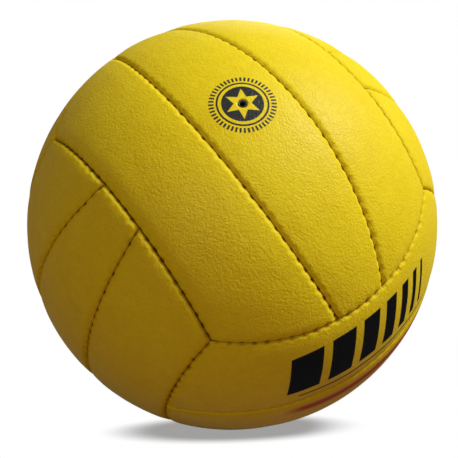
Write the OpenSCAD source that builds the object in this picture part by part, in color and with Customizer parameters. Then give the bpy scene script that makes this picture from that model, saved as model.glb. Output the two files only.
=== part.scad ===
// Stitched volleyball of 18 panels, in millimetres, with the ball's centre at the origin.
// Six faces of three strips each. In the ball's own axes the valve is at the top of the
// top face, and the whole ball is then turned to the way it lies, with +Z up.

/* [Ball] */
// Outside diameter over the crowns of the panels
ball_d = 210; // [160:1:260]
// Thickness of the synthetic leather of the cover
cover_t = 1.2; // [0.8:0.1:1.6]
// Thickness of the foam and cloth backing under the cover
backing_t = 2.8; // [2.2:0.1:4]
// Wall of the rubber bladder
bladder_t = 0.6; // [0.4:0.1:1.2]

/* [Seams] */
// Rounding of a panel's long edges where the cover turns in to the seam
edge_r = 2.2; // [1.8:0.1:2.8]
// How much wider the rounding of a panel's two ends is
end_extra = 0.4; // [0.3:0.05:0.8]
// Lean of a turned-in lip away from its seam, in degrees
lip_lean = 6; // [5:0.5:9]
// Thickness of the sewing thread
thread_d = 0.8; // [0.6:0.05:1]

/* [Valve] */
// Hole in the cover over the valve
valve_hole_d = 4; // [3:0.1:6]
// Bore of the plug that the inflating needle goes into
needle_bore_d = 2.1; // [1.6:0.05:2.6]
// Depth of the needle bore
needle_bore_l = 14; // [8:0.5:20]
// Stem of the plug
plug_d = 5; // [4:0.1:7]
// Length of the plug under its head
plug_l = 19; // [18:0.5:30]
// Head of the plug
plug_head_d = 8; // [8:0.1:10]
// Thickness of the plug's head
plug_head_t = 1.6; // [1:0.1:2.4]
// Depth of the plug's nib below the crown, in the hole of the cover
nib_sink = 0.4; // [0.2:0.1:1]
// Rubber around the plug in the housing
housing_wall = 2; // [1.2:0.1:3]
// Flange of the housing, bonded inside the bladder
flange_d = 28; // [22:1:40]
// Thickness of the flange
flange_t = 1.2; // [0.8:0.1:2]

/* [Pose] */
// Lean of the valve axis from upright, towards the front
valve_tilt = 52.6; // [0:0.1:180]
// Turn of the ball about its valve axis
valve_spin = -54.8; // [-180:0.1:180]

/* [Hidden] */
// Clearance between pieces that lie against each other
fit = 0.1;
// How far an edge's rounding would stand above the crown, so that it meets the crown at an angle
edge_rise = 0.06;
// Bevels that make up the rounding of an edge
edge_steps = 3;
$fn = 96;

ball_r = ball_d / 2;
wall_t = cover_t + backing_t;
lip_r = ball_r - wall_t;
end_r = edge_r + end_extra;
bladder_r = lip_r - fit;
// The two lips of a seam stand apart by the thread between them
seam_gap = thread_d + 2 * fit;
thread_r = ball_r - end_r - thread_d / 2 - fit;
// Radii well inside and outside the cover, where the cuts that shape it start and end
inside_r = lip_r - 1.5 * wall_t;
outside_r = ball_r + 2 * wall_t;
// Angle from a face's axis to the corners, where three seams meet
corner_polar = acos(1 / sqrt(3));
// A face is three equal strips wide, so a strip seam lies a third of the way out
strip_angle = (90 - corner_polar) / 3;
// A strip seam's half length, from the middle of its face to the seam across its end
strip_half = acos(cos(corner_polar) / cos(strip_angle));
// Half of a quarter circle, the length of an edge seam about its face's axis
edge_half = 45;
// Length left out at a thread's end for the thread that it meets there
thread_end = thread_d + fit;
// Far enough out for a chord across a quarter circle to clear the ball
beyond = 1.6 * ball_r;
housing_d = plug_head_d + 2 * fit + 2 * housing_wall;
stem_d = plug_d + 2 * fit + 2 * housing_wall;
// Top of the valve, against the underside of the cover
valve_top_r = ball_r - cover_t - fit;
plug_seat = valve_top_r - plug_head_t;
nib_top_r = ball_r - nib_sink;
nib_d = valve_hole_d - 2 * fit;

// Name, turn about the corner axis, flip about the strips' axis, and the faces beside it on its two sides
FACES = [
    ["top", 0, 0, "front", "rear"],
    ["bottom", 0, 180, "rear", "front"],
    ["right", 120, 0, "bottom", "top"],
    ["left", 120, 180, "top", "bottom"],
    ["rear", 240, 0, "left", "right"],
    ["front", 240, 180, "right", "left"],
];
STRIPS = [-1, 0, 1];

function strip_name(face, strip) =
    str(face[0], "_", strip == 0 ? "middle" : strip < 0 ? face[3] : face[4]);
function panel_name(face, strip) = str(strip_name(face, strip), "_panel");
function backing_name(face, strip) = str(strip_name(face, strip), "_backing");
function strip_thread_name(face) = str(face[0], "_strip_thread");
function edge_thread_name(face) = str(face[0], "_edge_thread");
function has_valve(face, strip) = face[0] == "top" && strip == 0;

// Turns the ball from its own axes to the way it lies
module lie() {
    rotate([valve_tilt, 0, 0]) rotate([0, 0, valve_spin]) children();
}

// Puts a shape that is drawn on the top face on another face
module on_face(face) {
    lie() rotate(face[1], [1, 1, 1]) rotate([face[2], 0, 0]) children();
}

// The inside of the cone that a seam lies on, up to the lip of the panel beside it, with that panel's
// edge rounded by bend_r in a few bevels. The panel is inside the cone with side 1, and outside it
// with side -1. The lip and the bend are drawn back by off, for what lies inside the cover.
module seam_profile(polar, side, bend_r, off) {
    along = [sin(polar), cos(polar)];
    to_panel = side * [-cos(polar), sin(polar)];
    lip = seam_gap / 2 + off;
    bend_from_seam = seam_gap / 2 + bend_r;
    bend_from_centre = ball_r - bend_r + edge_rise;
    bend = along * sqrt(bend_from_centre ^ 2 - bend_from_seam ^ 2) + to_panel * bend_from_seam;
    lean = (bend_from_centre - inside_r) * tan(lip_lean);
    polygon([
        [0, inside_r],
        along * inside_r + to_panel * (lip + lean),
        for (step = [0 : edge_steps])
            let (turn = 90 * step / edge_steps)
                bend + (bend_r - off) * (along * sin(turn) - to_panel * cos(turn)),
        bend * beyond / bend_from_centre,
        [0, beyond],
    ]);
}

// Cuts away what lies inside a seam's cone, up to the panel outside it
module seam_cut(polar, off) {
    rotate_extrude() intersection() {
        seam_profile(polar, -1, edge_r, off);
        circle(outside_r);
    }
}

// The whole round of the top face within its cone, from the radius floor_r up
module cap(off, floor_r) {
    rotate_extrude() difference() {
        intersection() {
            seam_profile(corner_polar, 1, end_r, off);
            circle(ball_r - off);
        }
        circle(floor_r);
    }
}

// The middle strip of the top face, drawn back by off
module middle_blank(off, floor_r) {
    difference() {
        cap(off, floor_r);
        rotate([90 + strip_angle, 0, 0]) seam_cut(90, off);
        rotate([-90 - strip_angle, 0, 0]) seam_cut(90, off);
    }
}

// The side strip of the top face towards +Y, drawn back by off
module side_blank(off, floor_r) {
    difference() {
        cap(off, floor_r);
        rotate([90 - strip_angle, 0, 0]) seam_cut(90, off);
        rotate([-90, 0, 0]) seam_cut(corner_polar, off);
    }
}

module blank(strip, off, floor_r) {
    if (strip == 0) middle_blank(off, floor_r);
    else rotate([0, 0, strip < 0 ? 180 : 0]) side_blank(off, floor_r);
}

// A cover panel: a domed tray whose lips turn in to the seams
module panel(face, strip) {
    color("gold") on_face(face) difference() {
        blank(strip, 0, lip_r);
        blank(strip, cover_t, lip_r - wall_t);
        if (has_valve(face, strip)) cylinder(h = beyond, d = valve_hole_d);
    }
}

// The foam and cloth that fill a panel between its lips
module backing(face, strip) {
    color("ivory") on_face(face) difference() {
        blank(strip, cover_t + fit, lip_r);
        if (has_valve(face, strip)) cylinder(h = beyond, d = housing_d + 2 * fit);
    }
}

// A length of thread around an axis, half_angle to each side of the +X direction, short of what it meets
module thread_arc(polar, half_angle) {
    half = half_angle - asin(thread_end / (thread_r * sin(polar)));
    rotate([0, 0, -half]) rotate_extrude(angle = 2 * half)
        translate(thread_r * [sin(polar), cos(polar)]) circle(thread_d / 2);
}

// The thread of the two seams between a face's strips
module strip_thread(face) {
    color("goldenrod") on_face(face)
        for (side = [-1, 1])
            rotate([side * strip_angle, 0, 0]) rotate([90, 0, 0]) rotate([0, 0, 90])
                thread_arc(90, strip_half);
}

// The thread of the two seams across the ends of a face's strips
module edge_thread(face) {
    color("goldenrod") on_face(face)
        for (end = [0, 180]) rotate([0, 0, end]) thread_arc(corner_polar, edge_half);
}

// The rubber bladder, open where the valve housing goes through it
module bladder() {
    color("dimgray") lie() difference() {
        sphere(bladder_r);
        sphere(bladder_r - bladder_t);
        cylinder(h = beyond, d = housing_d + 2 * fit);
    }
}

// The boot that holds the plug: a head through the bladder and the backing, a flange and a stem
module valve_housing() {
    flange_r = bladder_r - bladder_t - fit;
    color("black") lie() rotate_extrude() difference() {
        intersection() {
            circle(valve_top_r);
            union() {
                square([housing_d / 2, beyond]);
                intersection() {
                    square([flange_d / 2, beyond]);
                    circle(flange_r);
                }
            }
        }
        difference() {
            circle(flange_r - flange_t);
            translate([0, plug_seat - plug_l]) square([stem_d / 2, beyond]);
        }
        square([plug_d / 2 + fit, beyond]);
        translate([0, plug_seat - fit]) square([plug_head_d / 2 + fit, beyond]);
    }
}

// The rubber plug: a stem, a head under the cover and a nib in its hole, with the blind bore for the needle
module valve_plug() {
    tip = plug_seat - plug_l + plug_d / 2;
    color("black") lie() rotate_extrude() difference() {
        union() {
            intersection() {
                circle(valve_top_r);
                translate([0, plug_seat]) square([plug_head_d / 2, beyond]);
            }
            translate([0, plug_seat]) square([nib_d / 2, nib_top_r - plug_seat]);
            translate([0, tip]) square([plug_d / 2, plug_seat + plug_head_t / 2 - tip]);
            translate([0, tip]) intersection() {
                circle(plug_d / 2);
                translate([0, -plug_d]) square([plug_d, 2 * plug_d]);
            }
        }
        translate([0, nib_top_r - needle_bore_l]) square([needle_bore_d / 2, beyond]);
    }
}

for (face = FACES) {
    for (strip = STRIPS) {
        panel(face, strip);
        backing(face, strip);
    }
    strip_thread(face);
    edge_thread(face);
}
bladder();
valve_housing();
valve_plug();
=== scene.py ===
import math

import bpy
import numpy as np
from mathutils import Matrix, Quaternion, Vector


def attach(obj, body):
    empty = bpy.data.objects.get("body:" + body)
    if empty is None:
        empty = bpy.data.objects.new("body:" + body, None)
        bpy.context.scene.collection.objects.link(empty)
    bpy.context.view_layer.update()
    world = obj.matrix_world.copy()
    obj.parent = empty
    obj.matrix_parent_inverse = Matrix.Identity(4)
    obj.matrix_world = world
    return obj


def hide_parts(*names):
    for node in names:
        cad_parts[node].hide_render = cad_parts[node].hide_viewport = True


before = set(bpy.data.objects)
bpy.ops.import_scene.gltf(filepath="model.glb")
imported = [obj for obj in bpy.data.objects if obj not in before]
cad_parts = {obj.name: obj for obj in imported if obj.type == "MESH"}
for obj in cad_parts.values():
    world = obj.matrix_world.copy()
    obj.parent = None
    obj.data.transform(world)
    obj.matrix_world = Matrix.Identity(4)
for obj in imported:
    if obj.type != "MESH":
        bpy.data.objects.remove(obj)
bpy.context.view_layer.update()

MM = 0.001
BALL_R = 105 * MM
THROAT_R = 102.35 * MM  # just above the sewing thread
BACK_R = 101 * MM  # the cloth side of a panel, against the bladder
THREAD_R = 101.9 * MM
THREAD_D = 0.8 * MM
# Angle from a face's axis to the corners, and from its middle to the seam between two strips
CORNER = math.acos(1 / math.sqrt(3))
STRIP = (math.pi / 2 - CORNER) / 3
STRIP_HALF = math.acos(math.cos(CORNER) / math.cos(STRIP))
# Stitches of a seam between strips and of a seam across their ends, about 5.2 mm apart
STRIP_STITCHES = 38
EDGE_STITCHES = 26

# How the ball lies, and each face: turn about the corner axis, flip about its strips, the faces beside it
LIE = Matrix.Rotation(math.radians(52.6), 3, "X") @ Matrix.Rotation(math.radians(-54.8), 3, "Z")
FACES = {
    "top": (0, 0, "front", "rear"),
    "bottom": (0, 180, "rear", "front"),
    "right": (120, 0, "bottom", "top"),
    "left": (120, 180, "top", "bottom"),
    "rear": (240, 0, "left", "right"),
    "front": (240, 180, "right", "left"),
}

# Layers of a panel's mesh: its skin, the top and the foot of its turned-in lips, and the valve's seat
SKIN, THROAT, FOOT, SEAT = range(4)

# Kinds of node that come up often, and two settings of theirs
MATH, VECTOR, RANGE = "ShaderNodeMath", "ShaderNodeVectorMath", "ShaderNodeMapRange"
MIX, NOISE = "ShaderNodeMix", "ShaderNodeTexNoise"
SWITCH, COMPARE = "GeometryNodeSwitch", "FunctionNodeCompare"
COLOUR = {"data_type": "RGBA"}
SMOOTH = {"interpolation_type": "SMOOTHSTEP"}


def face_turn(face):
    turn, flip = FACES[face][:2]
    corner_axis = Vector((1, 1, 1)).normalized()
    return (
        LIE
        @ Matrix.Rotation(math.radians(turn), 3, corner_axis)
        @ Matrix.Rotation(math.radians(flip), 3, "X")
    )


def linear(code):
    """An sRGB hex colour as linear RGBA."""
    parts = [int(code[i : i + 2], 16) / 255 for i in (1, 3, 5)]
    return [c / 12.92 if c <= 0.04045 else ((c + 0.055) / 1.055) ** 2.4 for c in parts] + [1.0]


def add(tree, kind, links=None, **settings):
    """Adds a node with its settings, links or fills its inputs, and returns its first live output."""
    node = tree.nodes.new(kind)
    for name, value in settings.items():
        setattr(node, name, value)
    for key, value in (links or {}).items():
        socket = node.inputs[key]
        if isinstance(value, bpy.types.NodeSocket):
            tree.links.new(value, socket)
        else:
            socket.default_value = value
    return next((o for o in node.outputs if o.enabled), node)


# Camera and studio


def make_camera():
    """The photograph's view: 3.5 ball radii away, ten degrees above the horizon."""
    turn, rise, roll = math.radians(3.1), math.radians(9.8), math.radians(-0.4)
    radii_away = 3.51
    # The picture's width and the ball's place off its middle, in pixels
    width, right, up = 458, 3.2, 4.0
    back = Vector((-math.sin(turn) * math.cos(rise), -math.cos(turn) * math.cos(rise), math.sin(rise)))
    data = bpy.data.cameras.new("camera")
    data.lens = 54.35
    data.sensor_width = 36
    data.shift_x = -right / width
    data.shift_y = -up / width
    data.clip_start = 0.01
    camera = bpy.data.objects.new("camera", data)
    camera.location = back * radii_away * BALL_R
    camera.rotation_euler = (back.to_track_quat("Z", "Y") @ Quaternion((0, 0, 1), roll)).to_euler()
    bpy.context.scene.collection.objects.link(camera)
    bpy.context.scene.camera = camera


def new_material(name):
    material = bpy.data.materials.new(name)
    material.use_nodes = True
    material.node_tree.nodes.clear()
    return material, material.node_tree


def white_rays(tree):
    """1 for the rays that show the white studio, 0 for those that light the ball."""
    rays = add(tree, "ShaderNodeLightPath").node.outputs
    seen = add(tree, MATH, {0: rays["Is Camera Ray"], 1: rays["Is Glossy Ray"]}, operation="MAXIMUM")
    return add(tree, MATH, {0: seen, 1: rays["Is Transmission Ray"]}, operation="MAXIMUM")


def make_lamp(name, at, size, power, tint):
    data = bpy.data.lights.new(name, "AREA")
    data.shape = "DISK"
    data.size = size
    data.energy = power
    data.color = linear(tint)[:3]
    lamp = bpy.data.objects.new(name, data)
    lamp.location = at
    lamp.rotation_euler = Vector(at).to_track_quat("Z", "Y").to_euler()
    lamp.visible_camera = False
    bpy.context.scene.collection.objects.link(lamp)


def make_studio():
    """One lamp high on the right, weak ones in front on the left and behind, a warm fill and white paper."""
    make_lamp("key", (1.46, -0.46, 1.85), 0.67, 57, "#FFFFFF")
    make_lamp("front", (-0.46, -1.82, 0.68), 0.6, 6.4, "#FFF0DA")
    make_lamp("behind", (0.15, 1.35, 0.65), 0.6, 6, "#FFFFFF")

    world = bpy.data.worlds.new("studio")
    bpy.context.scene.world = world
    world.use_nodes = True
    tree = world.node_tree
    tree.nodes.clear()
    fill = add(tree, "ShaderNodeBackground", {"Color": linear("#FFCE9C"), "Strength": 0.105})
    white = add(tree, "ShaderNodeBackground", {"Color": linear("#FFFFFF"), "Strength": 1.0})
    both = add(tree, "ShaderNodeMixShader", {0: white_rays(tree), 1: fill, 2: white})
    add(tree, "ShaderNodeOutputWorld", {"Surface": both})
    make_floor()


def make_floor():
    """White paper to the eye with a painted shadow under the ball, and a warm brown to the ball, so that it
    throws little light back.
    """
    floor, tree = new_material("studio_floor")
    at = add(tree, "ShaderNodeTexCoord").node.outputs["Object"]
    # A painted shadow of two soft ovals, where the ball touches and before it: in them the white glow is
    # dimmed and the grey paper shows, which takes the ball's real shadow too, with plain white paper beyond.
    # Each has its middle and its reach, in mm
    ovals = (((0, 22), (52, 44)), ((-1.5, -22), (66, 16.5)))
    # Where an oval starts to fade and where it ends, in parts of its reach, and the white left inside
    fade_from, fade_to, least_white = 0.6, 1.1, 0.33
    plain = 1.0
    for middle, reach in ovals:
        place = {
            "Vector": at,
            "Location": (-middle[0] / reach[0], -middle[1] / reach[1], 0),
            "Scale": (1 / (reach[0] * MM), 1 / (reach[1] * MM), 0),
        }
        away = add(tree, VECTOR, {0: add(tree, "ShaderNodeMapping", place)}, operation="LENGTH")
        fade = {"Value": away, "From Min": fade_from, "From Max": fade_to, "To Min": least_white}
        plain = add(tree, MATH, {0: add(tree, RANGE, fade, **SMOOTH), 1: plain}, operation="MINIMUM")
    # The paper is grey, so that the painted shadow stays grey where the lamps still reach it
    paper = add(tree, "ShaderNodeBsdfDiffuse", {"Color": linear("#9FA6B2")})
    glow = add(tree, "ShaderNodeEmission", {"Color": linear("#FFFFFF"), "Strength": 1.0})
    shown = add(tree, "ShaderNodeMixShader", {0: plain, 1: paper, 2: glow})
    brown = add(tree, "ShaderNodeBsdfDiffuse", {"Color": linear("#70462A")})
    both = add(tree, "ShaderNodeMixShader", {0: white_rays(tree), 1: brown, 2: shown})
    add(tree, "ShaderNodeOutputMaterial", {"Surface": both})
    mesh = bpy.data.meshes.new("floor")
    half, low = 6.0, -BALL_R
    corners = [(-half, -half, low), (half, -half, low), (half, half, low), (-half, half, low)]
    mesh.from_pydata(corners, [], [(0, 1, 2, 3)])
    mesh.materials.append(floor)
    sweep = bpy.data.objects.new("floor", mesh)
    bpy.context.scene.collection.objects.link(sweep)


# Materials


def within(tree, value, middle, edge, **settings):
    """1 where a value is near the middle and 0 far from it. The edge is the distance from the middle where
    it ends and the one where it is full."""
    off = add(tree, MATH, {0: value, 1: middle}, operation="SUBTRACT")
    off = add(tree, MATH, {0: off}, operation="ABSOLUTE")
    return add(tree, RANGE, {"Value": off, "From Min": edge[0], "From Max": edge[1]}, **settings)


def fold(tree, angle, step):
    """An angle's distance from the middle of the step that it lies in."""
    folded = add(tree, MATH, {0: angle, 1: step}, operation="FLOORED_MODULO")
    folded = add(tree, MATH, {0: folded, 1: step / 2}, operation="SUBTRACT")
    return add(tree, MATH, {0: folded}, operation="ABSOLUTE")


def valve_mark(tree):
    """Ink of the mark around the valve: a disc with a six-pointed star left open, a ring and ticks."""
    # Radii in mm, and edges in mm as where the ink ends and where it is full
    star_tip, star_notch, star_edge, star_turn = 7.5, 3.6, (-0.08, 0.08), math.radians(28)
    disc_edge = (8.75, 8.55)
    ring_r, ring_edge = 10.4, (0.5, 0.32)
    tick_r, tick_ends, tick_sides, tick_step = 12.7, (1.15, 1.0), (0.5, 0.34), math.radians(7.5)

    at = add(tree, "ShaderNodeTexCoord").node.outputs["Object"]
    lying = {"Vector": at, "Rotation": LIE.transposed().to_euler(), "Scale": (1 / MM, 1 / MM, 1 / MM)}
    axes = add(tree, "ShaderNodeSeparateXYZ", {0: add(tree, "ShaderNodeMapping", lying)}).node.outputs
    flat = add(tree, "ShaderNodeCombineXYZ", {0: axes["X"], 1: axes["Y"]})
    out = add(tree, VECTOR, {0: flat}, operation="LENGTH")
    around = add(tree, MATH, {0: axes["Y"], 1: axes["X"]}, operation="ARCTAN2")
    # Fold the circle to half a point of the star, with the tip at 0 and the notch at 30 degrees
    point = math.pi / 3
    turned = add(tree, MATH, {0: around, 1: star_turn - point / 2}, operation="SUBTRACT")
    folded = fold(tree, turned, point)
    px, py = (
        add(tree, MATH, {0: out, 1: add(tree, MATH, {0: folded}, operation=part)}, operation="MULTIPLY")
        for part in ("COSINE", "SINE")
    )
    nx, ny = star_notch * math.cos(point / 2), star_notch * math.sin(point / 2)
    length = math.hypot(star_tip - nx, ny)
    # Distance outside the star's side, from the tip to the notch
    side = add(tree, MATH, {0: px, 1: ny / length, 2: -star_tip * ny / length}, operation="MULTIPLY_ADD")
    side = add(tree, MATH, {0: py, 1: (star_tip - nx) / length, 2: side}, operation="MULTIPLY_ADD")
    open_star = add(tree, RANGE, {"Value": side, "From Min": star_edge[0], "From Max": star_edge[1]})
    disc = add(tree, RANGE, {"Value": out, "From Min": disc_edge[0], "From Max": disc_edge[1]})
    disc = add(tree, MATH, {0: disc, 1: open_star}, operation="MULTIPLY")
    ring = within(tree, out, ring_r, ring_edge)
    # Ticks like those of a dial
    tick = add(tree, MATH, {0: fold(tree, around, tick_step), 1: out}, operation="MULTIPLY")
    tick = add(tree, RANGE, {"Value": tick, "From Min": tick_sides[0], "From Max": tick_sides[1]})
    tick = add(tree, MATH, {0: tick, 1: within(tree, out, tick_r, tick_ends)}, operation="MULTIPLY")
    ink = add(tree, MATH, {0: disc, 1: ring}, operation="MAXIMUM")
    ink = add(tree, MATH, {0: ink, 1: tick}, operation="MAXIMUM")
    above = add(tree, MATH, {0: axes["Z"], 1: 0.0}, operation="GREATER_THAN")
    return add(tree, MATH, {0: ink, 1: above}, operation="MULTIPLY")


def strip_axes(tree):
    """Where a point lies on its strip, in millimetres along it and across it."""
    lay = add(tree, "ShaderNodeAttribute", attribute_name="lay").node.outputs["Vector"]
    return add(tree, "ShaderNodeSeparateXYZ", {0: lay}).node.outputs


def side_bars(tree):
    """Ink of a row of leaning bars that get narrower along the strip, with a thin line under them."""
    # In mm along and across the strip, with ends and sides as where the ink ends and where it is full
    lean, start, gap, soft = -0.25, -46.0, 4.2, 0.1
    widths = (15.0, 12.0, 9.5, 7.0, 5.0, 3.5, 2.2)
    bars_across, bars_ends = 23.5, (12.1, 11.9)
    line_across, line_sides = 7.4, (0.6, 0.4)
    line_along, line_ends = 2.0, (40.1, 39.9)
    axes = strip_axes(tree)
    along = add(tree, MATH, {0: axes["Y"], 1: lean, 2: axes["X"]}, operation="MULTIPLY_ADD")
    ink = 0.0
    for width in widths:
        half = width / 2
        bar = within(tree, along, start + half, (half + soft, half - soft))
        ink = add(tree, MATH, {0: bar, 1: ink}, operation="MAXIMUM")
        start += width + gap
    tall = within(tree, axes["Y"], bars_across, bars_ends)
    ink = add(tree, MATH, {0: ink, 1: tall}, operation="MULTIPLY")
    line = within(tree, axes["Y"], line_across, line_sides)
    reach = within(tree, axes["X"], line_along, line_ends)
    line = add(tree, MATH, {0: line, 1: reach}, operation="MULTIPLY")
    return add(tree, MATH, {0: ink, 1: line}, operation="MAXIMUM")


def side_band(tree):
    """Ink of one plain band along the strip."""
    band_across, band_sides, band_ends = 12.0, (5.5, 1.2), (46.0, 36.0)
    axes = strip_axes(tree)
    wide = within(tree, axes["Y"], band_across, band_sides, **SMOOTH)
    reach = within(tree, axes["X"], 0.0, band_ends)
    return add(tree, MATH, {0: wide, 1: reach}, operation="MULTIPLY")


def synthetic_leather(name, ink=None, ink_colour="#0C0C0E", ink_coat=0.03, spot=0.55):
    """Polyurethane-coated microfibre, embossed with a fine pebble grain: a satin yellow whose highlight
    breaks up on the grain, with painted shade in the grain's valleys, a painted highlight with a little
    rubbing on the rims beside the seams, and painted shade with some soil and dirt where it turns in to a
    seam. The painted shade of the needle spots reaches as far from the seam as spot says, in mm."""
    material, tree = new_material(name)
    at = add(tree, "ShaderNodeTexCoord").node.outputs["Object"]
    edge, stitch = (
        add(tree, "ShaderNodeAttribute", attribute_name=label).node.outputs["Fac"]
        for label in ("edge", "stitch")
    )

    # Pebbles of 0.6 mm on the real cover, drawn at 1 mm so that they show
    pebbles = {"Vector": at, "Scale": 1 / (1.0 * MM), "Smoothness": 0.5}
    pebble = add(tree, "ShaderNodeTexVoronoi", pebbles, feature="SMOOTH_F1")
    fibres = {"Vector": at, "Scale": 1 / (0.9 * MM), "Detail": 3.0, "Roughness": 0.65}
    grain = add(tree, MATH, {0: pebble, 1: -0.7, 2: add(tree, NOISE, fibres)}, operation="MULTIPLY_ADD")
    # Fine creases, a few millimetres long
    creases = {"Vector": at, "Scale": 1 / (3.2 * MM), "Detail": 2.0, "Distortion": 0.8}
    crease = add(tree, MATH, {0: add(tree, NOISE, creases), 1: 0.5}, operation="SUBTRACT")
    crease = add(tree, MATH, {0: crease}, operation="ABSOLUTE")
    crease = add(tree, RANGE, {"Value": crease, "From Max": 0.07, "To Min": 0.4, "To Max": 0.0})
    grain = add(tree, MATH, {0: grain, 1: crease}, operation="SUBTRACT")

    # Dye that took unevenly, in patches of about 40 mm and 5 mm
    patches = {"Vector": at, "Scale": 1 / (40 * MM), "Detail": 4.0, "Roughness": 0.55}
    mottles = {"Vector": at, "Scale": 1 / (5 * MM), "Detail": 3.0, "Roughness": 0.6}
    mottle = add(tree, NOISE, mottles)
    tone = add(tree, MATH, {0: add(tree, NOISE, patches), 1: mottle}, operation="ADD")
    tone = add(tree, RANGE, {"Value": tone, "From Min": 0.75, "From Max": 1.25})
    colour = add(tree, MIX, {0: tone, 6: linear("#EED61A"), 7: linear("#F3DF22")}, **COLOUR)

    # Painted shade: the grain's valleys and creases are drawn a deeper yellow
    valley_shade = add(tree, RANGE, {"Value": grain, "From Min": 0.3, "From Max": -0.1, "To Max": 0.12})
    # The rims beside the seams are drawn a little paler, a painted highlight of their lit edges with a little
    # rubbing
    inner = add(tree, RANGE, {"Value": edge, "From Min": 0.1, "From Max": 0.4})
    outer = add(tree, RANGE, {"Value": edge, "From Min": 1.8, "From Max": 0.8, "To Max": 0.3})
    rubbed_rim_highlight = add(tree, MATH, {0: inner, 1: outer}, operation="MULTIPLY")
    # Darker in blotches towards the seam: painted shade, with some soil from handling
    soil_and_seam_shade = add(tree, RANGE, {"Value": edge, "From Min": 1.3, "From Max": 0.2, "To Max": 0.4})
    blotch = add(tree, RANGE, {"Value": mottle, "From Min": 0.3, "From Max": 0.6})
    soil_and_seam_shade = add(tree, MATH, {0: soil_and_seam_shade, 1: blotch}, operation="MULTIPLY")
    # Painted shade with some dirt in the groove, and more painted shade where the needle went through
    groove = add(tree, MATH, {0: stitch, 1: -0.25, 2: edge}, operation="MULTIPLY_ADD")
    dirt_and_groove_shade = add(tree, RANGE, {"Value": groove, "From Min": 0.18, "From Max": 0.0, "To Max": 0.6})
    # Painted shade at the needle holes, reaching as far from the seam as spot says
    needle = add(tree, RANGE, {"Value": edge, "From Min": spot, "From Max": spot - 0.35, "To Max": 0.65})
    needle = add(tree, MATH, {0: needle, 1: stitch}, operation="MULTIPLY", use_clamp=True)
    for mask, hue in (
        (valley_shade, "#C9A30C"),
        (rubbed_rim_highlight, "#FFF052"),
        (soil_and_seam_shade, "#9A740A"),
        (dirt_and_groove_shade, "#96620E"),
        (needle, "#462A06"),
    ):
        colour = add(tree, MIX, {0: mask, 6: colour, 7: linear(hue)}, **COLOUR)

    rough = add(tree, RANGE, {"Value": tone, "To Min": 0.46, "To Max": 0.38})
    # The top coat is worn off where the leather turns in
    coated = add(tree, RANGE, {"Value": edge, "From Min": 0.8, "From Max": 3.2, "To Max": 0.135})
    if ink:
        # Ink lies on the pebbles and misses a few of the valleys
        held = add(tree, RANGE, {"Value": grain, "From Min": -0.6, "From Max": -0.4, "To Min": 0.9})
        mask = add(tree, MATH, {0: ink(tree), 1: held}, operation="MULTIPLY")
        colour = add(tree, MIX, {0: mask, 6: colour, 7: linear(ink_colour)}, **COLOUR)
        rough = add(tree, MIX, {0: mask, 2: rough, 3: 0.6})
        coated = add(tree, RANGE, {"Value": mask, "To Min": coated, "To Max": ink_coat})
    bump = add(tree, "ShaderNodeBump", {"Strength": 1.0, "Distance": 0.15 * MM, "Height": grain})
    # The sheen is that of a thin top coat, and the coloured layer under it is dull
    dull = {"IOR": 1.5, "Specular IOR Level": 0.0}
    coat = {"Coat Weight": coated, "Coat Roughness": 0.43, "Coat IOR": 2.0, "Coat Normal": bump}
    shader = add(
        tree,
        "ShaderNodeBsdfPrincipled",
        {"Base Color": colour, "Roughness": rough, "Normal": bump, **dull, **coat},
    )
    add(tree, "ShaderNodeOutputMaterial", {"Surface": shader})
    return material


def laminated_cloth():
    """Cotton and polyester cloth glued to the foam: a dull off-white plain weave."""
    material, tree = new_material("laminated_cloth")
    at = add(tree, "ShaderNodeTexCoord").node.outputs["Object"]
    # Threads of 0.5 mm, drawn at 1 mm: a wave of this scale repeats every 2 mm
    threads = {"Vector": at, "Scale": 1 / (6.3 * MM), "Distortion": 0.6}
    warp, weft = (add(tree, "ShaderNodeTexWave", threads, bands_direction=way) for way in "XY")
    weave = add(tree, MATH, {0: warp, 1: weft}, operation="MULTIPLY")
    colour = add(tree, MIX, {0: weave, 6: linear("#BDB49B"), 7: linear("#E4DDC8")}, **COLOUR)
    bump = add(tree, "ShaderNodeBump", {"Strength": 0.4, "Distance": 0.2 * MM, "Height": weave})
    dull = {"Roughness": 0.9, "IOR": 1.5}
    shader = add(tree, "ShaderNodeBsdfPrincipled", {"Base Color": colour, **dull, "Normal": bump})
    add(tree, "ShaderNodeOutputMaterial", {"Surface": shader})
    return material


def waxed_thread():
    """Waxed polyester sewing thread: plies laid at a slant, a dull ochre with a little wax sheen."""
    material, tree = new_material("waxed_polyester_thread")
    at = add(tree, "ShaderNodeTexCoord").node.outputs["Object"]
    ply = add(tree, NOISE, {"Vector": at, "Scale": 1 / (0.5 * MM), "Detail": 2.0})
    colour = add(tree, MIX, {0: ply, 6: linear("#4A3308"), 7: linear("#7E5C18")}, **COLOUR)
    bump = add(tree, "ShaderNodeBump", {"Strength": 0.5, "Distance": 0.15 * MM, "Height": ply})
    shine = {"Roughness": 0.6, "IOR": 1.5, "Specular IOR Level": 0.1}
    shader = add(tree, "ShaderNodeBsdfPrincipled", {"Base Color": colour, **shine, "Normal": bump})
    add(tree, "ShaderNodeOutputMaterial", {"Surface": shader})
    return material


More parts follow.
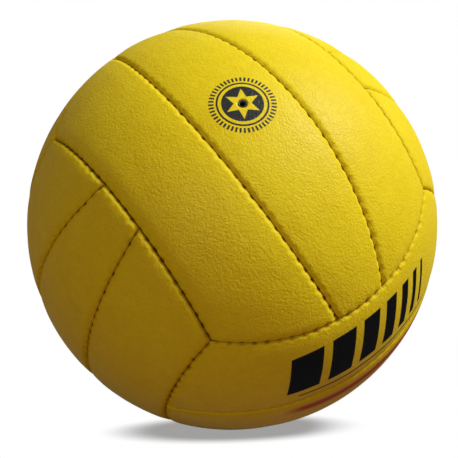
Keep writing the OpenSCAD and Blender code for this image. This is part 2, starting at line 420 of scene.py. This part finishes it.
def moulded_rubber(name, dark, pale, roughness):
    """Butyl rubber from a mould: near black with a faint bloom, and a soft sheen on its rounded edges."""
    material, tree = new_material(name)
    at = add(tree, "ShaderNodeTexCoord").node.outputs["Object"]
    blooms = {"Vector": at, "Scale": 1 / (6 * MM), "Detail": 5.0, "Roughness": 0.65}
    bloom = add(tree, NOISE, blooms)
    fine = add(tree, NOISE, {"Vector": at, "Scale": 1 / (0.5 * MM), "Detail": 2.0})
    colour = add(tree, MIX, {0: bloom, 6: linear(dark), 7: linear(pale)}, **COLOUR)
    rough = add(tree, RANGE, {"Value": bloom, "To Min": roughness - 0.08, "To Max": roughness + 0.1})
    bump = add(tree, "ShaderNodeBump", {"Strength": 0.15, "Distance": 0.1 * MM, "Height": fine})
    shine = {"Roughness": rough, "IOR": 1.52, "Specular IOR Level": 0.3}
    shader = add(tree, "ShaderNodeBsdfPrincipled", {"Base Color": colour, **shine, "Normal": bump})
    add(tree, "ShaderNodeOutputMaterial", {"Surface": shader})
    return material


# Geometry Nodes


def new_tree(name, inputs, outputs=(("Geometry", "Geometry"),)):
    tree = bpy.data.node_groups.new(name, "GeometryNodeTree")
    for in_out, sockets in (("INPUT", inputs), ("OUTPUT", outputs)):
        for label, kind in sockets:
            tree.interface.new_socket(label, in_out=in_out, socket_type="NodeSocket" + kind)
    return tree, tree.nodes.new("NodeGroupInput").outputs, tree.nodes.new("NodeGroupOutput").inputs


def make_seam_tree():
    """How one seam draws a panel in: the distance to it, the pull of its stitches and the shift off it.
    The seam is a circle around an axis, and the panel lies outside that circle."""
    tree, given, out = new_tree(
        "Seam",
        [
            ("Direction", "Vector"),
            ("Axis", "Vector"),
            ("Middle", "Vector"),
            ("Polar", "Float"),
            ("Stitch turn", "Float"),
            ("Ball radius", "Float"),
            ("Stitch reach", "Float"),
            ("Gap", "Float"),
            ("Stitch gap", "Float"),
        ],
        [("Distance", "Float"), ("Pull", "Float"), ("Hole", "Float"), ("Shift", "Vector")],
    )
    facing = add(tree, VECTOR, {0: given["Direction"], 1: given["Axis"]}, operation="DOT_PRODUCT")
    polar = add(tree, MATH, {0: facing}, operation="ARCCOSINE")
    past = add(tree, MATH, {0: polar, 1: given["Polar"]}, operation="SUBTRACT")
    distance = add(tree, MATH, {0: past, 1: given["Ball radius"]}, operation="MULTIPLY")

    # Stitches along the seam, counted from its middle, with the needle holes at the half counts
    beside = add(tree, VECTOR, {0: given["Axis"], 1: given["Middle"]}, operation="CROSS_PRODUCT")
    across = add(tree, VECTOR, {0: given["Direction"], 1: beside}, operation="DOT_PRODUCT")
    ahead = add(tree, VECTOR, {0: given["Direction"], 1: given["Middle"]}, operation="DOT_PRODUCT")
    ahead = add(tree, MATH, {0: ahead}, operation="ABSOLUTE")
    around = add(tree, MATH, {0: across, 1: ahead}, operation="ARCTAN2")
    count = add(tree, MATH, {0: around, 1: given["Stitch turn"]}, operation="DIVIDE")
    wave = add(tree, MATH, {0: count, 1: 2 * math.pi}, operation="MULTIPLY")
    wave = add(tree, MATH, {0: wave}, operation="COSINE")
    pull, hole = (
        add(tree, RANGE, {"Value": wave, "From Min": starts, "From Max": full}, **SMOOTH)
        for starts, full in ((0.5, -1.0), (0.0, -0.95))
    )
    # No two stitches are drawn equally tight: the draw comes from the seam's axis and the stitch's number
    spread_out, loosest, tightest = (17.3, 31.7, 53.1), 0.35, 1.2
    own = add(tree, VECTOR, {0: given["Axis"], 1: spread_out}, operation="DOT_PRODUCT")
    number = add(tree, MATH, {0: count}, operation="FLOOR")
    number = add(tree, MATH, {0: number, 1: own}, operation="ADD")
    firm = add(tree, "ShaderNodeTexWhiteNoise", {"W": number}, noise_dimensions="1D").node.outputs["Value"]
    firm = add(tree, RANGE, {"Value": firm, "To Min": loosest, "To Max": tightest})
    beside_seam = {"Value": distance, "From Max": given["Stitch reach"], "To Min": 1.0, "To Max": 0.0}
    near = add(tree, RANGE, beside_seam, **SMOOTH)
    tight = add(tree, MATH, {0: firm, 1: near}, operation="MULTIPLY")
    pull = add(tree, MATH, {0: pull, 1: tight}, operation="MULTIPLY")
    hole = add(tree, MATH, {0: hole, 1: tight}, operation="MULTIPLY")

    off = add(tree, VECTOR, {0: given["Axis"], 1: given["Direction"]}, operation="PROJECT")
    off = add(tree, VECTOR, {0: off, 1: given["Axis"]}, operation="SUBTRACT")
    off = add(tree, VECTOR, {0: off}, operation="NORMALIZE")
    gap = add(tree, MATH, {0: given["Gap"], 1: near}, operation="MULTIPLY")
    gap = add(tree, MATH, {0: hole, 1: given["Stitch gap"], 2: gap}, operation="MULTIPLY_ADD")
    shift = add(tree, VECTOR, {0: off, "Scale": gap}, operation="SCALE")
    for label, value in (("Distance", distance), ("Pull", pull), ("Hole", hole), ("Shift", shift)):
        tree.links.new(value, out[label])
    return tree


SEAMS = ("First side", "Second side", "Ends")


def make_panel_tree():
    """A panel laid on the ball, drawn in to its three seams: rounded edges, puckers at the stitches, lips."""
    parts = (("axis", "Vector"), ("middle", "Vector"), ("polar", "Float"), ("stitch turn", "Float"))
    seams = [(f"{s} {part}", kind) for s in SEAMS for part, kind in parts]
    tree, given, out = new_tree(
        "Sewn panel",
        [("Geometry", "Geometry")]
        + [(size, "Float") for size in (*PANEL_SIZES, *OWN_SIZES)]
        + seams
        + [("Leather", "Material"), ("Lining", "Material")],
    )
    here = add(tree, "GeometryNodeInputPosition")
    direction = add(tree, VECTOR, {0: here}, operation="NORMALIZE")
    layer = add(tree, "GeometryNodeInputNamedAttribute", {"Name": "layer"}, data_type="FLOAT")
    # The faces of the back have all their corners at the foot of the lips or deeper
    under, deep, seat, inside = (
        add(tree, COMPARE, {0: layer, 1: past}, data_type="FLOAT", operation="GREATER_THAN")
        for past in (THROAT - 0.5, FOOT - 0.5, SEAT - 0.5, FOOT - 0.1)
    )
    gap, stitch_gap = (
        add(tree, SWITCH, {0: under, 1: at_skin, 2: at_lip}, input_type="FLOAT")
        for at_skin, at_lip in ((given["Gap"], given["Lip gap"]), (given["Stitch gap"], 0.0))
    )

    seam_tree = make_seam_tree()
    nearest = None
    for s in SEAMS:
        values = {part.capitalize(): given[f"{s} {part}"] for part, _ in parts}
        values |= {size: given[size] for size in ("Ball radius", "Stitch reach")}
        values |= {"Direction": direction, "Gap": gap, "Stitch gap": stitch_gap}
        seam = add(tree, "GeometryNodeGroup", values, node_tree=seam_tree).node.outputs
        distance = seam["Distance"]
        if nearest is None:
            nearest, pull, hole, shift = distance, seam["Pull"], seam["Hole"], seam["Shift"]
            closest = distance
        else:
            closest = add(tree, MATH, {0: closest, 1: distance}, operation="MINIMUM")
            # The ends, and the sides that they end at, turn in more sharply than the seams between strips
            if s == "Second side":
                to_side, roundness = distance, given["Side fullness"]
            else:
                to_end, roundness = distance, given["End fullness"]
            distance = add(tree, MATH, {0: distance, 1: roundness}, operation="DIVIDE")
            meeting = {0: nearest, 1: distance, 2: given["Corner softness"]}
            nearest = add(tree, MATH, meeting, operation="SMOOTH_MIN")
            pull = add(tree, MATH, {0: pull, 1: seam["Pull"]}, operation="ADD")
            hole = add(tree, MATH, {0: hole, 1: seam["Hole"]}, operation="ADD")
            shift = add(tree, VECTOR, {0: shift, 1: seam["Shift"]}, operation="ADD")

    # The edge bends down to the seam, with a slow fall towards it, the puckers and a slight unevenness
    bend = add(tree, RANGE, {"Value": nearest, "From Max": given["Edge width"], "To Min": 1.0, "To Max": 0.0})
    bend = add(tree, MATH, {0: bend, 1: given["Edge roundness"]}, operation="POWER")
    skin = add(tree, MATH, {0: bend, 1: given["Edge depth"]}, operation="MULTIPLY")
    skin = add(tree, MATH, {0: pull, 1: given["Stitch dip"], 2: skin}, operation="MULTIPLY_ADD")
    crown = {"Value": nearest, "From Max": given["Crown width"], "To Min": given["Crown drop"], "To Max": 0.0}
    skin = add(tree, MATH, {0: skin, 1: add(tree, RANGE, crown, **SMOOTH)}, operation="ADD")
    # A side that other panels end at lies a little lower
    beside = {"Value": to_side, "From Max": given["Side length"], "To Min": 1.0, "To Max": 0.0}
    lower = add(tree, MATH, {0: add(tree, RANGE, beside), 1: 2.0}, operation="POWER")
    skin = add(tree, MATH, {0: lower, 1: given["Side fall"], 2: skin}, operation="MULTIPLY_ADD")
    # A panel swells a little before its ends
    before = {"Value": to_end, "From Min": given["End length"], "From Max": given["End edge"]}
    swell = add(tree, RANGE, before, **SMOOTH)
    down = add(tree, RANGE, {"Value": to_end, "From Max": given["End edge"]}, **SMOOTH)
    swell = add(tree, MATH, {0: swell, 1: down}, operation="MULTIPLY")
    swell = add(tree, MATH, {0: swell, 1: given["End rise"]}, operation="MULTIPLY")
    skin = add(tree, MATH, {0: skin, 1: swell}, operation="SUBTRACT")
    sink = add(tree, "GeometryNodeInputNamedAttribute", {"Name": "sink"}, data_type="FLOAT")
    skin = add(tree, MATH, {0: sink, 1: MM, 2: skin}, operation="MULTIPLY_ADD")
    uneven = add(tree, NOISE, {"Vector": here, "Scale": 1 / (18 * MM), "Detail": 1.0})
    skin = add(tree, MATH, {0: uneven, 1: given["Ripple"], 2: skin}, operation="MULTIPLY_ADD")
    skin = add(tree, MATH, {0: given["Ball radius"], 1: skin}, operation="SUBTRACT")

    lips = {0: deep, 1: given["Throat radius"], 2: given["Back radius"]}
    lip = add(tree, SWITCH, lips, input_type="FLOAT")
    radius = add(tree, SWITCH, {0: under, 1: skin, 2: lip}, input_type="FLOAT")
    own = add(tree, VECTOR, {0: here}, operation="LENGTH")
    radius = add(tree, SWITCH, {0: seat, 1: radius, 2: own}, input_type="FLOAT")
    place = add(tree, VECTOR, {0: direction, "Scale": radius}, operation="SCALE")
    place = add(tree, VECTOR, {0: place, 1: shift}, operation="ADD")
    # The leather reads how many millimetres it is from a seam, and where the needle holes are
    shape = given["Geometry"]
    reading = add(tree, MATH, {0: closest, 1: MM}, operation="DIVIDE")
    for label, value in (("edge", reading), ("stitch", hole)):
        shape = add(
            tree,
            "GeometryNodeStoreNamedAttribute",
            {"Geometry": shape, "Name": label, "Value": value},
            data_type="FLOAT",
            domain="POINT",
        )
    shape = add(tree, "GeometryNodeSetPosition", {"Geometry": shape, "Position": place})
    shape = add(tree, "GeometryNodeRealizeInstances", {"Geometry": shape})
    angle = add(tree, "GeometryNodeInputMeshEdgeAngle").node.outputs["Unsigned Angle"]
    smooth_up_to = math.radians(60)
    corner = add(tree, COMPARE, {0: angle, 1: smooth_up_to}, data_type="FLOAT", operation="GREATER_THAN")
    sharp = {"Geometry": shape, "Selection": corner, "Shade Smooth": False}
    shape = add(tree, "GeometryNodeSetShadeSmooth", sharp, domain="EDGE")
    shape = add(tree, "GeometryNodeSetMaterial", {"Geometry": shape, "Material": given["Leather"]})
    lined = {"Geometry": shape, "Selection": inside, "Material": given["Lining"]}
    shape = add(tree, "GeometryNodeSetMaterial", lined)
    tree.links.new(shape, out["Geometry"])
    return tree


def make_stitch_tree():
    """The sewing of a face's two like seams: a thread along each one and a strand across it at every hole."""
    tree, given, out = new_tree(
        "Seam stitching",
        [
            ("Geometry", "Geometry"),
            ("First turn", "Rotation"),
            ("Second turn", "Rotation"),
            ("Seam radius", "Float"),
            ("Seam height", "Float"),
            ("Sweep", "Float"),
            ("Stitches", "Int"),
            ("Thread thickness", "Float"),
            ("Strand length", "Float"),
            ("Strand rise", "Float"),
            ("Seed", "Int"),
            ("Thread", "Material"),
        ],
    )
    half = add(tree, MATH, {0: given["Thread thickness"], 1: 0.5}, operation="MULTIPLY")
    height = add(tree, "ShaderNodeCombineXYZ", {2: given["Seam height"]})
    turn = add(tree, MATH, {0: given["Sweep"], 1: given["Stitches"]}, operation="DIVIDE")
    start = add(tree, MATH, {0: given["Sweep"], 1: -0.5}, operation="MULTIPLY")

    round_section, thin_section = (
        add(tree, "GeometryNodeCurvePrimitiveCircle", {"Resolution": sides, "Radius": half}, mode="RADIUS")
        for sides in (8, 6)
    )
    whole = {"Radius": given["Seam radius"], "Start Angle": start, "Sweep Angle": given["Sweep"]}
    line = add(tree, "GeometryNodeCurveArc", {"Resolution": 64, **whole}, mode="RADIUS")
    laid = {"Curve": line, "Profile Curve": round_section, "Fill Caps": True}
    thread = add(tree, "GeometryNodeCurveToMesh", laid)
    thread = add(tree, "GeometryNodeTransform", {"Geometry": thread, "Translation": height})

    first = add(tree, MATH, {0: turn, 1: 0.5, 2: start}, operation="MULTIPLY_ADD")
    span = add(tree, MATH, {0: given["Sweep"], 1: turn}, operation="SUBTRACT")
    inner = {"Radius": given["Seam radius"], "Start Angle": first, "Sweep Angle": span}
    holes = add(tree, "GeometryNodeCurveArc", {"Resolution": given["Stitches"], **inner}, mode="RADIUS")
    holes = add(tree, "GeometryNodeTransform", {"Geometry": holes, "Translation": height})
    holes = add(tree, "GeometryNodeCurveToPoints", {"Curve": holes}, mode="EVALUATED")
    outward = add(tree, VECTOR, {0: add(tree, "GeometryNodeInputPosition")}, operation="NORMALIZE")
    across = add(tree, VECTOR, {0: outward, 1: holes.node.outputs["Tangent"]}, operation="CROSS_PRODUCT")
    facing = add(
        tree,
        "FunctionNodeAxesToRotation",
        {"Primary Axis": outward, "Secondary Axis": across},
        primary_axis="Z",
        secondary_axis="X",
    )
    reach = add(tree, MATH, {0: given["Strand length"], 1: 0.5}, operation="MULTIPLY")
    back = add(tree, MATH, {0: reach, 1: -1.0}, operation="MULTIPLY")
    dip = add(tree, MATH, {0: given["Strand rise"], 1: -0.5}, operation="MULTIPLY")
    peak = add(tree, MATH, {0: given["Strand rise"], 1: 2.0}, operation="MULTIPLY")
    arch = {
        "Start": add(tree, "ShaderNodeCombineXYZ", {0: back, 2: dip}),
        "Middle": add(tree, "ShaderNodeCombineXYZ", {2: peak}),
        "End": add(tree, "ShaderNodeCombineXYZ", {0: reach, 2: dip}),
    }
    strand = add(tree, "GeometryNodeCurveQuadraticBezier", {"Resolution": 5, **arch})
    crossing = {"Curve": strand, "Profile Curve": thin_section, "Fill Caps": True}
    strand = add(tree, "GeometryNodeCurveToMesh", crossing)
    placed = {"Points": holes, "Instance": strand, "Rotation": facing}
    strands = add(tree, "GeometryNodeInstanceOnPoints", placed)
    least, most = (0.0, 0.0, 0.1), (0.0, 0.0, 0.5)
    slants = {0: least, 1: most, "Seed": given["Seed"]}
    slant = add(tree, "FunctionNodeRandomValue", slants, data_type="FLOAT_VECTOR")
    strands = add(tree, "GeometryNodeRotateInstances", {"Instances": strands, "Rotation": slant})

    both = []
    for side in ("First turn", "Second turn"):
        for shape in (thread, strands):
            both.append(add(tree, "GeometryNodeTransform", {"Geometry": shape, "Rotation": given[side]}))
    sewing = add(tree, "GeometryNodeJoinGeometry")
    for shape in reversed(both):
        tree.links.new(shape, sewing.node.inputs[0])
    sewing = add(tree, "GeometryNodeRealizeInstances", {"Geometry": sewing})
    sewing = add(tree, "GeometryNodeSetShadeSmooth", {"Geometry": sewing})
    sewing = add(tree, "GeometryNodeSetMaterial", {"Geometry": sewing, "Material": given["Thread"]})
    tree.links.new(sewing, out["Geometry"])
    return tree


def run_tree(piece, tree, values):
    """Runs a tree on a piece with its named inputs, and keeps the result as the piece's plain mesh."""
    modifier = piece.modifiers.new(tree.name, "NODES")
    modifier.node_group = tree
    for item in tree.interface.items_tree:
        if item.item_type == "SOCKET" and item.in_out == "INPUT" and item.name in values:
            modifier[item.identifier] = values[item.name]
    depsgraph = bpy.context.evaluated_depsgraph_get()
    made = bpy.data.meshes.new_from_object(
        piece.evaluated_get(depsgraph), preserve_all_data_layers=True, depsgraph=depsgraph
    )
    piece.modifiers.clear()
    piece.data = made
    made.name = piece.name


def new_piece(name, mesh):
    piece = bpy.data.objects.new(name, mesh)
    bpy.context.scene.collection.objects.link(piece)
    return piece


# Panels


def spread(length, step):
    """Places from 0 to 1 along a length in mm: close together at both ends, an even step between."""
    near = np.array([0.0, 0.1, 0.3, 0.6, 1.0, 1.5, 2.1])
    steps = round((length - 2 * near[-1]) / step)
    between = np.linspace(near[-1], length - near[-1], steps + 1)[1:-1]
    return np.concatenate([near, between, length - near[::-1]]) / length


def strip_directions(side, s, t):
    """Unit vectors on the top face's strip, for s from -1 to 1 along it and t from 0 to 1 across it,
    with the strip's own coordinates in millimetres."""
    if side:
        end = STRIP + t * (math.pi / 4 - STRIP)
        along = s * np.arccos(math.cos(CORNER) / np.cos(end))
        outer = np.arcsin(math.cos(CORNER) / np.cos(s * (math.pi / 2 - CORNER)))
        across = STRIP + t * (outer - STRIP)
    else:
        across = STRIP * (2 * t - 1)
        along = s * np.arccos(math.cos(CORNER) / np.cos(across))
    out = np.stack([np.sin(along), np.cos(along) * np.sin(across), np.cos(along) * np.cos(across)], -1)
    lay = np.stack([along, across - (STRIP if side else 0), 0 * along], -1) * BALL_R / MM
    return out, lay


def border(grid):
    """The outer indices of a grid, anticlockwise seen from outside the ball."""
    return np.concatenate([grid[:-1, 0], grid[-1, :-1], grid[:0:-1, -1], grid[0, :0:-1]])


def quads(a, b, c, d):
    return np.stack([a, b, c, d], -1).reshape(-1, 4)


def band(one, two):
    """The faces between two closed rings of indices."""
    return quads(one, np.roll(one, -1), np.roll(two, -1), two).tolist()


def panel_mesh(name, side, turn, valve):
    """The closed form of a panel before it is sewn: the skin, the two rings of its lips and the back.
    Each point keeps the layer that it belongs to."""
    # The strip's size and the steps of its skin, in mm, and the rows of faces across its back
    length, width = 197, 43
    step_along, step_across = 0.65, 0.75
    back_rows = 6
    u = 2 * spread(length, step_along) - 1
    v = spread(width, step_across)
    cols, rows = len(u) - 1, len(v) - 1
    points, lays, layers, sinks = [], [], [], []

    def put(out, lay, layer, sink=0.0):
        start = sum(map(len, points))
        points.append(out.reshape(-1, 3))
        lays.append(lay.reshape(-1, 3))
        count = len(points[-1])
        layers.append(np.full(count, float(layer)))
        sinks.append(np.full(count, float(sink)))
        return start + np.arange(count).reshape(out.shape[:-1])

    skin = put(*strip_directions(side, *np.meshgrid(u, v, indexing="ij")), SKIN)
    out, lay = points[0], lays[0]
    rim = border(skin)[::-1]
    throat = put(out[rim], lay[rim], THROAT)
    foot = put(out[rim], lay[rim], FOOT)
    # The back's lines run along the strip, between the foot of the lips at its sides and at its ends
    levels = v[1:-1] if valve else np.arange(1, back_rows) / back_rows
    back = put(*strip_directions(side, *np.meshgrid(u[1:-1], levels, indexing="ij")), FOOT)
    edge = np.zeros(skin.shape, int)
    edge.flat[rim] = foot
    lines = np.concatenate([edge[1:-1, :1], back, edge[1:-1, -1:]], 1)

    skin_faces = quads(skin[:-1, :-1], skin[1:, :-1], skin[1:, 1:], skin[:-1, 1:])
    back_faces = quads(lines[:-1, :-1], lines[:-1, 1:], lines[1:, 1:], lines[1:, :-1])
    faces = band(rim, throat) + band(throat, foot)
    cuts = [int(np.abs(v - level).argmin()) for level in (0, *levels, 1)]
    for k, (low, high) in enumerate(zip(cuts, cuts[1:])):
        faces.append([lines[0, k], *edge[0, low : high + 1], lines[0, k + 1]])
        faces.append([lines[-1, k + 1], *edge[-1, low : high + 1][::-1], lines[-1, k]])
    if valve:
        # A square is left out, and rings close it round the hole and the seat of the housing. In mm: half
        # the square, the hole's radius, how far and how deep its edge rolls in, and the seat
        square, hole, roll, roll_depth = 8, 2.0, 0.8, 0.6
        seat_r, seat_top = 6.2, 103.8
        i0, i1 = (int(np.abs(u * length / 2 - x).argmin()) for x in (-square, square))
        j0, j1 = (int(np.abs((v - 0.5) * width - y).argmin()) for y in (-square, square))
        inside = np.zeros((cols, rows), bool)
        inside[i0:i1, j0:j1] = True
        skin_faces = skin_faces[~inside.ravel()]
        back_faces = back_faces[~inside[1:-1].ravel()]
        ring = border(skin[i0 : i1 + 1, j0 : j1 + 1])
        flat = out[ring, :2] * BALL_R / MM
        far = np.hypot(flat[:, 0], flat[:, 1])
        spoke = flat / far[:, None]

        def circle(r, height):
            xy = spoke * (r * MM / BALL_R)[:, None]
            up = np.stack([xy[:, 0], xy[:, 1], np.sqrt(1 - (xy**2).sum(1))], -1)
            return up * height / BALL_R, np.concatenate([spoke * r[:, None], 0 * r[:, None]], 1)

        # Rings from the square in to the hole, as parts of the way, closer together towards it
        rings = [0.9, 0.8, 0.7, 0.6, 0.5, 0.41, 0.33, 0.26, 0.2]
        rings += [0.15, 0.11, 0.08, 0.055, 0.035, 0.018, 0.005, 0.0]
        for w in rings:
            r = hole + w * (far - hole)
            turned = max(0.0, 1 - w * (square - hole) / roll)
            inner = put(*circle(r, BALL_R), SKIN, roll_depth * (1 - math.sqrt(1 - turned**2)))
            faces += band(ring, inner)
            ring = inner
        for r, height, layer in (
            (hole, seat_top * MM, SEAT),
            (seat_r, seat_top * MM, SEAT),
            (seat_r, BACK_R, FOOT),
        ):
            inner = put(*circle(r + 0 * far, height), layer)
            faces += band(ring, inner)
            ring = inner
        faces += band(ring, border(lines[i0 - 1 : i1, j0 : j1 + 1]))
    faces += skin_faces.tolist() + back_faces.tolist()

    # Points inside the left-out square belong to no face
    used = np.unique(np.concatenate([np.asarray(f) for f in faces]))
    renumber = np.zeros(sum(map(len, points)), int)
    renumber[used] = np.arange(len(used))
    place = np.concatenate(points)[used] * BALL_R @ np.array(turn).T
    mesh = bpy.data.meshes.new(name)
    mesh.from_pydata(place.tolist(), [], [renumber[f].tolist() for f in faces])
    for label, values in (("layer", layers), ("sink", sinks)):
        data = np.concatenate(values)[used].astype(np.float32)
        mesh.attributes.new(label, "FLOAT", "POINT").data.foreach_set("value", data)
    data = np.concatenate(lays)[used].astype(np.float32).ravel()
    mesh.attributes.new("lay", "FLOAT_VECTOR", "POINT").data.foreach_set("vector", data)
    mesh.polygons.foreach_set("use_smooth", np.ones(len(mesh.polygons), bool))
    return mesh


def panel_seams(side, turn):
    """Axis, middle, polar angle and stitch turn of a panel's three seams, each with the panel outside it."""
    strip_turn = 2 * STRIP_HALF / STRIP_STITCHES
    edge_turn = math.pi / 2 / EDGE_STITCHES
    c, s = math.cos(STRIP), math.sin(STRIP)
    ends = ((0, 0, -1), (1, 0, 0), math.pi - CORNER, edge_turn)
    between = (math.pi / 2, strip_turn)
    if side:
        sides = [((0, -c, s), (0, s, c), *between), ((0, 1, 0), (0, 0, 1), CORNER, edge_turn)]
    else:
        sides = [((0, c, -s), (0, s, c), *between), ((0, -c, -s), (0, -s, c), *between)]
    values = {}
    for label, (axis, middle, polar, stitch_turn) in zip(SEAMS, [*sides, ends]):
        values[f"{label} axis"] = turn @ Vector(axis)
        values[f"{label} middle"] = turn @ Vector(middle)
        values[f"{label} polar"] = polar
        values[f"{label} stitch turn"] = stitch_turn
    return values


PANEL_SIZES = {
    "Ball radius": BALL_R,
    "Edge width": 2.5 * MM,
    "Edge depth": 1.1 * MM,
    "Edge roundness": 2.4,
    "End fullness": 0.5,
    "End length": 13 * MM,
    "End edge": 0.8 * MM,
    "Side length": 9 * MM,
    "Crown width": 10 * MM,
    "Crown drop": 0.35 * MM,
    "Ripple": 0.35 * MM,
    "Stitch reach": 2.6 * MM,
    "Gap": 0.02 * MM,
    "Stitch gap": 0.06 * MM,
    "Lip gap": 0.5 * MM,
    "Throat radius": THROAT_R,
    "Back radius": BACK_R,
}
# Sizes that differ from panel to panel
OWN_SIZES = ("Side fullness", "Side fall", "End rise", "Corner softness", "Stitch dip")


def make_panels():
    plain = synthetic_leather("synthetic_leather")
    printed = {
        "top_middle": synthetic_leather("synthetic_leather_valve_mark", valve_mark, ink_coat=0.2),
        "right_top": synthetic_leather("synthetic_leather_bars", side_bars, spot=1.2),
        "right_middle": synthetic_leather("synthetic_leather_band", side_band, "#C2562A", 0.08),
    }
    lining = laminated_cloth()
    panel_tree = make_panel_tree()
    half_turn = Matrix.Rotation(math.pi, 3, "Z")
    for face, (_, _, low, high) in FACES.items():
        for strip, beside in ((-1, low), (0, "middle"), (1, high)):
            name = f"{face}_{beside}"
            turn = face_turn(face) @ (half_turn if strip < 0 else Matrix.Identity(3))
            mesh = panel_mesh(name, strip != 0, turn, valve=name == "top_middle")
            piece = new_piece(f"{name}_leather", mesh)
            leather = printed.get(name, plain)
            # The strips of the front face are fuller at their ends than the side that they end at, and
            # the printed side strip is sewn tighter
            own = {
                "Side fullness": 0.65 if strip else 1.0,
                "Corner softness": (6.0 if face == "front" else 3.6) * MM,
                "End rise": (0.5 if face == "front" else 0.05) * MM,
                "Side fall": (0.6 if name == "top_front" else 0.0) * MM,
                "Stitch dip": (0.9 if name == "right_top" else 0.58) * MM,
                "Leather": leather,
                "Lining": lining,
            }
            run_tree(piece, panel_tree, {**PANEL_SIZES, **panel_seams(strip != 0, turn), **own})
            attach(piece, "root")
            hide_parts(f"{name}_panel", f"{name}_backing")


# Sewing


def make_sewing():
    thread = waxed_thread()
    tree = make_stitch_tree()
    quarter = Matrix.Rotation(math.pi / 2, 3, "X") @ Matrix.Rotation(math.pi / 2, 3, "Z")
    for number, face in enumerate(FACES):
        turn = face_turn(face)
        shared = {
            "Thread thickness": THREAD_D,
            "Strand length": 2.2 * MM,
            "Strand rise": 0.5 * MM,
            "Thread": thread,
        }
        strip = {
            "First turn": (turn @ Matrix.Rotation(STRIP, 3, "X") @ quarter).to_euler(),
            "Second turn": (turn @ Matrix.Rotation(-STRIP, 3, "X") @ quarter).to_euler(),
            "Seam radius": THREAD_R,
            "Seam height": 0.0,
            "Sweep": 2 * STRIP_HALF,
            "Stitches": STRIP_STITCHES,
            "Seed": number,
        }
        edge = {
            "First turn": turn.to_euler(),
            "Second turn": (turn @ Matrix.Rotation(math.pi, 3, "Z")).to_euler(),
            "Seam radius": THREAD_R * math.sin(CORNER),
            "Seam height": THREAD_R * math.cos(CORNER),
            "Sweep": math.pi / 2,
            "Stitches": EDGE_STITCHES,
            "Seed": number + len(FACES),
        }
        for kind, values in (("strip", strip), ("edge", edge)):
            name = f"{face}_{kind}"
            piece = new_piece(f"{name}_sewing", bpy.data.meshes.new(name))
            run_tree(piece, tree, {**shared, **values})
            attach(piece, "root")
            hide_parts(f"{name}_thread")


# Valve and bladder


def make_valve():
    """The rubber plug, turned about the valve's axis, with a funnel into the needle's bore."""
    rubber = moulded_rubber("moulded_valve_rubber", "#0B0908", "#1E1914", 0.46)
    # Radii, heights above the ball's centre, the funnel and the rounded edges, in mm
    bore, nib, head, stem = 1.05, 1.88, 4.0, 2.5
    seat, under, top, floor, tip = 102.1, 103.6, 104.55, 90.6, 83.1
    funnel_w, funnel_h, funnel_foot = 0.35, 0.55, top - 0.7
    nib_round, nib_fillet, head_round = 0.25, 0.15, 0.3

    def rounded(r, z, size):
        """The rounding of an outer edge, from its top to its side."""
        corner_turn = np.radians((0, 30, 60, 90))
        return [(r - size + size * math.sin(a), z - size + size * math.cos(a)) for a in corner_turn]

    outline = [(0, floor), (bore, floor), (bore, funnel_foot)]
    for a in np.radians((20, 45, 70, 90)):
        outline.append((bore + funnel_w * (1 - math.cos(a)), funnel_foot + funnel_h * math.sin(a)))
    outline += rounded(nib, top, nib_round)
    outline += [(nib, under + nib_fillet), (nib + nib_fillet, under)]
    outline += rounded(head, under, head_round)
    outline += [(head, seat), (stem, seat), (stem, tip + stem)]
    for a in np.radians((20, 40, 60, 75)):
        outline.append((stem * math.cos(a), tip + stem - stem * math.sin(a)))
    outline += [(0, tip)]
    around = 64
    points, rings, faces = [], [], []
    for r, z in outline:
        turns = 1 if r == 0 else around
        rings.append(len(points) + np.arange(turns))
        for k in range(turns):
            a = 2 * math.pi * k / around
            points.append(LIE @ Vector((r * math.cos(a), r * math.sin(a), z)) * MM)
    for one, two in zip(rings, rings[1:]):
        for k in range(around):
            n = (k + 1) % around
            loop = [one[k % len(one)], one[n % len(one)], two[n % len(two)], two[k % len(two)]]
            faces.append(list(dict.fromkeys(int(i) for i in loop)))
    mesh = bpy.data.meshes.new("valve_plug_rubber")
    mesh.from_pydata(points, [], faces)
    mesh.polygons.foreach_set("use_smooth", np.ones(len(mesh.polygons), bool))
    mesh.materials.append(rubber)
    plug = new_piece("valve_plug_rubber", mesh)
    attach(plug, "root")
    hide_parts("valve_plug")

    for node, material in (
        ("valve_housing", rubber),
        ("bladder", moulded_rubber("butyl_bladder_rubber", "#141414", "#2B2A29", 0.6)),
    ):
        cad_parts[node].material_slots[0].material = material


make_camera()
make_studio()
make_panels()
make_sewing()
make_valve()
bpy.context.scene.view_settings.view_transform = "Standard"
